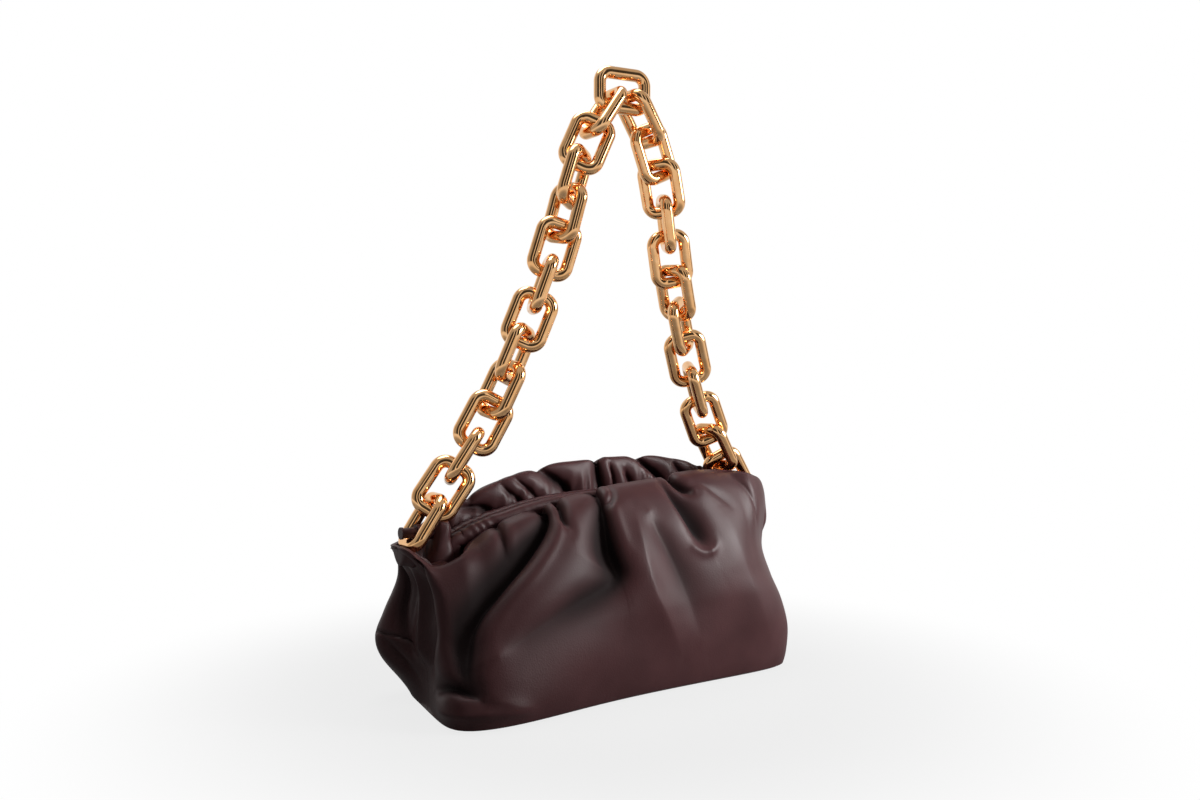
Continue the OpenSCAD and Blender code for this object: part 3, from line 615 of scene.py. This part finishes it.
def tube(name, centre, across, out, half_across, half_out, power, material, ripple=None):
    """Closed tube round the path centre: at angle q the wall stands off by the blunt oval
    |cos q|^(2/power), |sin q|^(2/power) times the two half widths. Over the last six rings each
    end draws in to a point as a quarter circle does."""
    count, around, closing = len(centre), 40, 6
    q = np.linspace(0, 2 * np.pi, around, endpoint=False)
    c, d = (np.sign(f) * np.abs(f) ** (2 / power) for f in (np.cos(q), np.sin(q)))
    wave = np.zeros((count, around)) if ripple is None else ripple(np.arange(count)[:, None], q[None])
    from_end = np.minimum(np.arange(count), count - 1 - np.arange(count))
    close = np.sqrt(np.clip(1 - (1 - from_end / closing).clip(0) ** 2, 0, 1))
    a = (half_across * close)[:, None] * c + wave * c * close[:, None]
    b = (half_out * close)[:, None] * d + wave * d * close[:, None]
    p = centre[:, None] + a[..., None] * across[:, None] + b[..., None] * out[:, None]
    i = np.arange(count - 1)[:, None] * around
    j = np.arange(around)[None]
    k = (j + 1) % around
    faces = np.stack([i + j, i + k, i + around + k, i + around + j], -1).reshape(-1, 4)
    obj = surface(name, p, faces, material)
    tidy = bmesh.new()
    tidy.from_mesh(obj.data)
    bmesh.ops.remove_doubles(tidy, verts=tidy.verts, dist=1e-6)
    bmesh.ops.recalc_face_normals(tidy, faces=tidy.faces)
    tidy.to_mesh(obj.data)
    tidy.free()
    obj.data.polygons.foreach_set("use_smooth", np.full(len(obj.data.polygons), True))
    return obj


def mouth_roll(side):
    """Gathered roll over one half frame: it follows the arch, turns down by a quarter ellipse and
    goes down each leg to the pivot. The gathers are a cosine along it whose pitch wanders."""
    reach = ARCH_HALF - ROLL_BEND + 1.5
    x = np.linspace(-reach, reach, 276)
    arch = np.stack([x, np.full_like(x, side * ROLL_Y), arch_height(x)], -1)
    turn = np.radians(np.linspace(4, 86, 14))[:, None]
    top, leg = arch[-1], np.array([LEG_X, side * ROLL_Y, arch_height(reach) - ROLL_BEND + 1])
    wide, _, high = leg - top
    bend = top + np.hstack([wide * np.sin(turn), 0 * turn, high * (1 - np.cos(turn))])
    down = np.array([0, 0, -1]) * np.linspace(1, leg[2] - (HINGE_H - 4), 12)[:, None] + leg
    half = np.concatenate([bend, down])
    path = np.concatenate([(half * [-1, 1, 1])[::-1], arch, half])
    way = np.gradient(path, axis=0)
    way /= np.linalg.norm(way, axis=-1, keepdims=True)
    out = np.cross(way, [0, 1, 0])
    span = np.r_[0, np.cumsum(np.linalg.norm(np.diff(path, axis=0), axis=-1))]
    leg_share = ease(np.abs(path[:, 0]), 104, 120)
    tall, thick = (ROLL_H - LEG_SLIMMER * leg_share) / 2, (ROLL_THICK - LEG_THINNER * leg_share) / 2
    pitch = span / 6.8 + 1.1 * np.sin(span / 17) + 0.6 * np.sin(span / 7.3 + 1)

    def ripple(i, q):
        lean = np.cos(q) * side
        fade = 0.45 + 0.35 * np.sin(span[i] / 23) + 0.2 * np.sin(span[i] / 9.1 + 2)
        return -0.6 * fade * (0.5 + 0.5 * np.cos(2 * np.pi * (pitch[i] + 0.4 * np.sin(q)))) * (lean > -0.5)

    name = ("front" if side < 0 else "back") + "_mouth_roll"
    across = np.tile([0.0, 1.0, 0.0], (len(path), 1))
    return tube(name, path, across, out, thick, tall, 2.6, LEATHER_MAT, ripple)


def end_gusset(name, side, end):
    """Half of the leather that closes one end of the mouth. It starts under the lip and sinks
    inwards, its height above the hinge axis going as (1 - v)^2.4, with fine creases running down.
    It reaches a little less than a third of the way round the panel."""
    way_round = np.linspace(0, 0.315, 90)
    a = way_round if end < 0 else 1 - way_round
    lip = rim(side, a[None], np.array([[1.0]]))[0]
    under = wall(side, a[None], np.array([[0.985]]))[0]
    v = np.linspace(0, 1, 46)[:, None]
    start = lip * 0.55 + under * 0.45 - [0, 0, 0.9]
    ridge_x = start[:, 0] - end * 1.2
    crease = np.stack([ridge_x, 0 * ridge_x, np.full_like(ridge_x, HINGE_H)], -1)
    p = start[None] * (1 - v[..., None]) + crease[None] * v[..., None]
    sink = start[:, 2] - (start[:, 2] - HINGE_H) * (1 - (1 - v) ** 2.4)
    x = p[..., 0]
    crinkle = 0.8 * np.sin(x * end / 2.1 + 3 * v + side) * np.sin(np.pi * v) ** 0.7
    crinkle += 0.9 * np.sin(x * end / 5.3 + 5 * v + 2 * side) * np.sin(np.pi * v)
    p[..., 2] = sink + crinkle * ease(np.abs(x), 160, 152)
    turn = (side < 0) == (end < 0)
    return sheet_between(name, p, p - [0, 0, 1.4], 1 if turn else -1, LEATHER_MAT)


def end_tab(end):
    """Leather tab folded over the stay and the post at one end of the mouth: an upright blunt oval,
    broad at its foot by the table grow, and rounded above by a root that falls to nothing."""
    z = np.concatenate([np.linspace(95, 126, 26), 126 + 4.9 * np.sin(np.radians(np.linspace(6, 90, 14)))])
    grow = through(z, [95, 99, 104, 112, 120, 131], [2.4, 2.2, 1.8, 1.35, 1.1, 0.93])
    cap = np.sqrt(np.clip(1 - ((z - 124.5).clip(0) / 6.6) ** 2.4, 0.001, 1))
    centre = np.stack([np.full_like(z, end * 130.4) - end * 0.02 * (z - 110), 0 * z, z], -1)
    ones = np.ones_like(z)[:, None]

    def ripple(i, q):
        return 0.35 * np.sin(z[i] / 2.3 + 2.0 * np.sin(2 * q)) * np.cos(q) ** 2

    name = ("left" if end < 0 else "right") + "_chain_tab"
    return tube(name, centre, ones * [0, 1.0, 0], ones * [1.0, 0, 0], 9.6 * grow ** 0.4 * cap,
                5.4 * grow * cap ** 0.8, 2.8, LEATHER_MAT, ripple)


def leather_half(side, half, folds):
    """The front or back half of the pouch: panel, lining, roll, two end gussets, and the pocket
    behind. The roll rides on the half frame."""
    leather_panel, inner, inner_n = panel(half + "_leather", side, folds)
    lined = lining(half + "_inner_lining", inner, inner_n, side)
    pieces = [(leather_panel, half + "_panel", "dark_leather"), (lined, half + "_lining", "lining")]
    if side > 0:
        pieces.append((slip_pocket(inner, inner_n), "pocket", "lining"))
    for piece, node, finish in pieces:
        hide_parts(node)
        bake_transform(piece)
    roll = mouth_roll(side)
    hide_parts(half + "_cuff")
    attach(roll, half + "_half")
    for end, where in ((-1, "left"), (1, "right")):
        gusset = end_gusset(half + "_" + where + "_gusset", side, end)
        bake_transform(gusset)


def finish_of(node):
    """Material of a solid that shows, by its name."""
    if node.startswith("link") or node == "top_link":
        return GOLD
    if "post" in node:
        return LEATHER_MAT
    return BOARD if node == "base_board" else STEEL


leather_half(-1, "front", FRONT_FOLDS)
leather_half(1, "back", BACK_FOLDS)
for end in (-1, 1):
    tab = end_tab(end)
    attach(tab, "bag")
HIDDEN = [half + part for half in ("front", "back") for part in ("_panel", "_lining", "_cuff")] + ["pocket"]
for node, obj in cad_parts.items():
    if node not in HIDDEN:
        for slot in obj.material_slots:
            slot.material = finish_of(node)


# Stage, light and camera
scene = bpy.context.scene
scene.view_settings.view_transform = "Standard"
# the picture's angle, with the way away from it and its right
TURN = math.radians(33.77)
AWAY = (math.sin(TURN), math.cos(TURN))
RIGHT = (math.cos(TURN), -math.sin(TURN))


def rays(sh):
    """Masks from the Light Path node: camera rays, also through glass, and mirrored rays."""
    ray = sh.t.nodes.new("ShaderNodeLightPath")
    seen = Sock(sh, ray.outputs["Is Camera Ray"]) + Sock(sh, ray.outputs["Is Transmission Ray"])
    return seen, Sock(sh, ray.outputs["Is Glossy Ray"])


def studio_world():
    """White for the camera and seen through glass. Reflections see a pale floor and ceiling, a tall
    softbox on the right, two narrow strips in front, a dim left, a white wall behind the bag, and
    dark between them. Everything else is lit by a low fill, brighter from above and from the right.
    The angle is in degrees, 0 at the picture's side of the bag and growing to the right."""
    world = bpy.data.worlds.new("studio")
    world.use_nodes = True
    sh = Shader(world.node_tree)
    d = sh.node("ShaderNodeTexCoord", out=0)
    toward, side, rise = (sh.node("ShaderNodeVectorMath", {"operation": "DOT_PRODUCT"}, {0: d, 1: way}, out=1)
                          for way in ((-AWAY[0], -AWAY[1], 0), (RIGHT[0], RIGHT[1], 0), (0, 0, 1)))
    angle = sh.node("ShaderNodeMath", {"operation": "ARCTAN2"}, {0: side, 1: toward}) * math.degrees(1)
    floor = 1 - rise.smooth(-0.06, 0.0)
    box = angle.smooth(66, 80) * (1 - angle.smooth(92, 106))
    left = (1 - angle.smooth(-60, -44)) * angle.smooth(-118, -100)
    behind = (1 - angle.smooth(-118, -100)) + angle.smooth(112, 124)
    top = rise.smooth(0.55, 0.8)
    strips = angle.smooth(-15, -10) * (1 - angle.smooth(-5, 0))
    strips = strips + angle.smooth(26, 30) * (1 - angle.smooth(36, 40))
    wall_light = 0.90 * box + 0.36 * left + 0.85 * behind + 0.95 * strips + 0.05
    level = wall_light * (1 - top) + 0.5 * top
    level = level * (1 - floor) + 0.7 * floor
    seen, mirrored = rays(sh)
    fill = 0.04 + 0.16 * rise.smooth(-0.2, 1.0) + 0.12 * side.smooth(-0.2, 1.0)
    level = mirrored * level + (1 - mirrored) * fill
    colour = sh.node("ShaderNodeCombineColor", {}, {0: level, 1: level * 0.985, 2: level * 0.96})
    lit = sh.node("ShaderNodeBackground", {}, {"Color": colour, "Strength": 1.0})
    white = sh.node("ShaderNodeBackground", {}, {"Color": (1, 1, 1, 1), "Strength": 1.0})
    mixed = sh.node("ShaderNodeMixShader", {}, {0: seen, 1: lit, 2: white})
    out = sh.t.nodes.new("ShaderNodeOutputWorld")
    sh.t.links.new(mixed.o, out.inputs["Surface"])
    scene.world = world


studio_world()


def lamp(name, place, aim, size, power, spread=180):
    """Rectangular softbox at place, facing aim; a grid narrows its light to spread degrees."""
    light = bpy.data.lights.new(name, "AREA")
    light.shape, light.size, light.size_y, light.energy = "RECTANGLE", *size, power
    light.spread = math.radians(spread)
    obj = bpy.data.objects.new(name, light)
    scene.collection.objects.link(obj)
    way = np.array(aim) - np.array(place)
    obj.location = place
    tilt = math.atan2(math.hypot(way[0], way[1]), -way[2])
    obj.rotation_euler = (tilt, 0, math.atan2(way[1], way[0]) - math.pi / 2)
    obj.visible_camera = False


# places and sizes in metres, power in watts
lamp("key_softbox", (0.53, -0.41, 0.34), (0.15, -0.04, 0.11), (0.40, 0.42), 1.15, 50)
lamp("top_softbox", (-0.1, 0.25, 1.3), (0, 0, 0.12), (0.9, 0.6), 9)


def pale_floor():
    """Floor that shows the bag's soft shadow and fades to plain white away from it. Reflections
    see it dark near the bag and pale further off."""
    m, sh = material("pale_floor")
    where = sh.node("ShaderNodeTexCoord", out=3)
    away = sh.node("ShaderNodeVectorMath", {"operation": "LENGTH"}, {0: where}, out=1)
    seen, mirrored = rays(sh)
    share = seen * (0.80 + 0.20 * away.smooth(0.16, 0.42))
    share = share + mirrored * (0.12 + 0.7 * away.smooth(0.25, 1.2))
    matt = sh.node("ShaderNodeBsdfPrincipled", {}, {"Base Color": (0.24, 0.24, 0.24, 1), "Roughness": 0.9,
                   "Specular IOR Level": 0.1})
    glow = sh.node("ShaderNodeEmission", {}, {"Color": (1, 1, 1, 1), "Strength": 1.0})
    finish_material(sh, sh.node("ShaderNodeMixShader", {}, {0: share, 1: matt, 2: glow}))
    half, z = 3000.0, -0.6
    # six metres square, a little below the base so that the two don't meet
    corners = np.array([(-half, -half, z), (half, -half, z), (half, half, z), (-half, half, z)])
    floor = surface("floor", corners, [[0, 1, 2, 3]], m, smooth=False)


pale_floor()

# camera fitted to the photograph, with its focal length in pixels of a picture 1200 wide
FOCAL, PICTURE_W = 1054, 1200
camera = bpy.data.objects.new("camera", bpy.data.cameras.new("camera"))
scene.collection.objects.link(camera)
camera.location = (-0.4410, -0.6639, 0.2149)
camera.rotation_euler = (math.radians(90 - 0.30), 0, -TURN)
camera.data.sensor_width = 36
camera.data.lens = FOCAL / PICTURE_W * camera.data.sensor_width
scene.camera = camera
